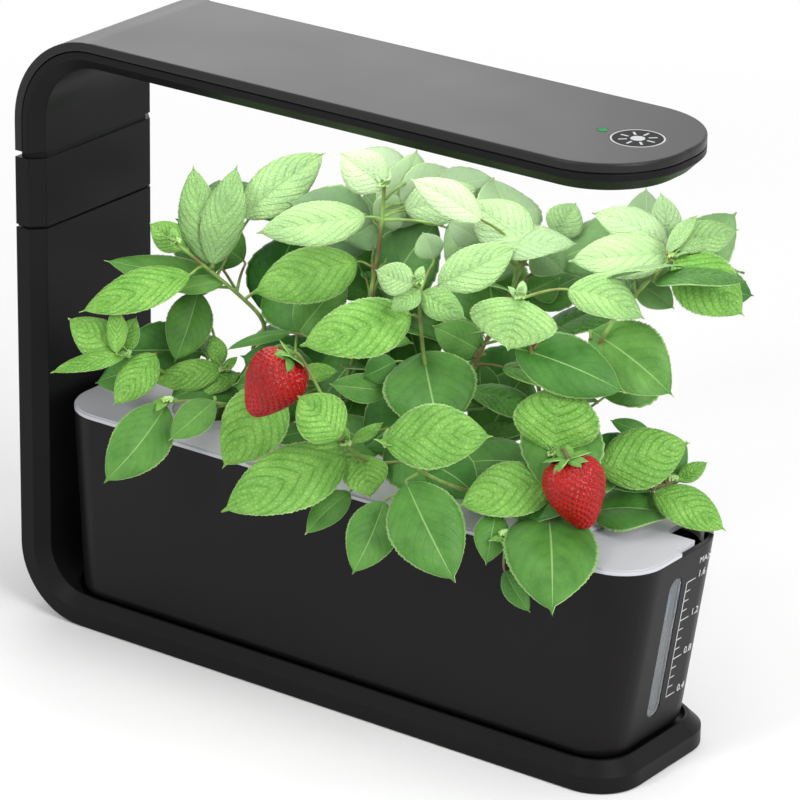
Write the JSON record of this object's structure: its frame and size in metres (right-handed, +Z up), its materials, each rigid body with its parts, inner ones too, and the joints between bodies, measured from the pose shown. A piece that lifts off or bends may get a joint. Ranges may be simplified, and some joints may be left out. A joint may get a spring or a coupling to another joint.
{
  "type": "countertop hydroponic garden",
  "caption": "Tabletop hydroponic planter: a C-shaped stand with a grow lamp over a water tank, with a level gauge, a planting deck and leafy plants in net cups.",
  "frame": {"origin": "the middle of the rubber feet, on the plane that they stand on, halfway along the base", "axes": "+X along the tank towards the water gauge, +Y to the rear, +Z up"},
  "size_m": [0.3538, 0.1848, 0.2921],
  "materials": {
    "frame_plastic": "satin black moulded plastic",
    "cover_plastic": "satin black moulded plastic, finely textured",
    "base_plastic": "matte black moulded plastic",
    "foot_rubber": "matte black rubber",
    "screw_steel": "zinc plated",
    "inlet_plastic": "matte black plastic",
    "lead_jacket": "matte insulation",
    "connector_plastic": "ivory nylon",
    "diffuser_plastic": "opal diffusing sheet",
    "led_board_coating": "white solder mask on aluminium",
    "led_phosphor": "yellow phosphor",
    "board_green": "green solder mask",
    "spring_brass": "plain",
    "print_white": "white pad print",
    "indicator_green": "green lens",
    "tank_plastic": "satin charcoal moulded plastic",
    "window_clear": "clear plastic",
    "seal_rubber": "translucent silicone",
    "guide_plastic": "matte black plastic",
    "float_blue": "blue foam with a smooth skin",
    "deck_plastic": "light grey moulded plastic",
    "cup_plastic": "light grey moulded plastic",
    "sponge_foam": "open-cell growing foam",
    "leaf_green": "living leaf, waxy",
    "berry_red": "ripe fruit, glossy"
  },
  "bodies": {
    "stand": {"base_frame": "frame_plastic", "base_cover": "base_plastic", "rubber_feet": "foot_rubber", "base_screws": "screw_steel", "dc_jack": "inlet_plastic", "post_lead": "lead_jacket", "post_socket": "connector_plastic"},
    "height_segment": {"segment_shell": "frame_plastic", "segment_plug": "connector_plastic", "segment_socket": "connector_plastic", "segment_lead": "lead_jacket"},
    "lamp_head": {"lamp_shell": "frame_plastic", "lamp_cover": "cover_plastic", "lamp_plug": "connector_plastic", "lamp_lead": "lead_jacket", "diffuser": "diffuser_plastic", "led_board": "led_board_coating", "leds": "led_phosphor", "control_board": "board_green", "key_spring": "spring_brass", "key_symbol": "print_white", "indicator_lens": "indicator_green", "cover_screws": "screw_steel"},
    "water_tank": {"tank": "tank_plastic", "gauge_window": "window_clear", "window_seal": "seal_rubber", "float_guide": "guide_plastic"},
    "level_float": {"gauge_float": "float_blue"},
    "planting_deck": {"deck": "deck_plastic"},
    "pod_1": {"net_cup_1": "cup_plastic", "sponge_1": "sponge_foam", "plant_1": "leaf_green"},
    "pod_2": {"net_cup_2": "cup_plastic", "sponge_2": "sponge_foam", "plant_2": "leaf_green"},
    "pod_3": {"net_cup_3": "cup_plastic", "sponge_3": "sponge_foam", "plant_3": "leaf_green", "strawberry_left": "berry_red"},
    "pod_4": {"net_cup_4": "cup_plastic", "sponge_4": "sponge_foam", "plant_4": "leaf_green", "strawberry_right": "berry_red"}
  },
  "joints": [
    {"name": "segment_lift", "type": "slide", "parent": "stand", "child": "height_segment", "axis": [0, 0, 1], "range_m": [0, 0.014]},
    {"name": "lamp_lift", "type": "slide", "parent": "height_segment", "child": "lamp_head", "axis": [0, 0, 1], "range_m": [0, 0.014]},
    {"name": "tank_lift", "type": "slide", "parent": "stand", "child": "water_tank", "axis": [0, 0, 1], "range_m": [0, 0.005]},
    {"name": "float_rise", "type": "slide", "parent": "water_tank", "child": "level_float", "axis": [0.1463, 0, 0.9892], "range_m": [-0.047, 0.009]},
    {"name": "deck_lift", "type": "slide", "parent": "water_tank", "child": "planting_deck", "axis": [0, 0, 1], "range_m": [0, 0.006]},
    {"name": "pod_1_lift", "type": "slide", "parent": "planting_deck", "child": "pod_1", "axis": [0, 0, 1], "range_m": [0, 0.006]},
    {"name": "pod_2_lift", "type": "slide", "parent": "planting_deck", "child": "pod_2", "axis": [0, 0, 1], "range_m": [0, 0.006]},
    {"name": "pod_3_lift", "type": "slide", "parent": "planting_deck", "child": "pod_3", "axis": [0, 0, 1], "range_m": [0, 0.006]},
    {"name": "pod_4_lift", "type": "slide", "parent": "planting_deck", "child": "pod_4", "axis": [0, 0, 1], "range_m": [0, 0.006]}
  ]
}
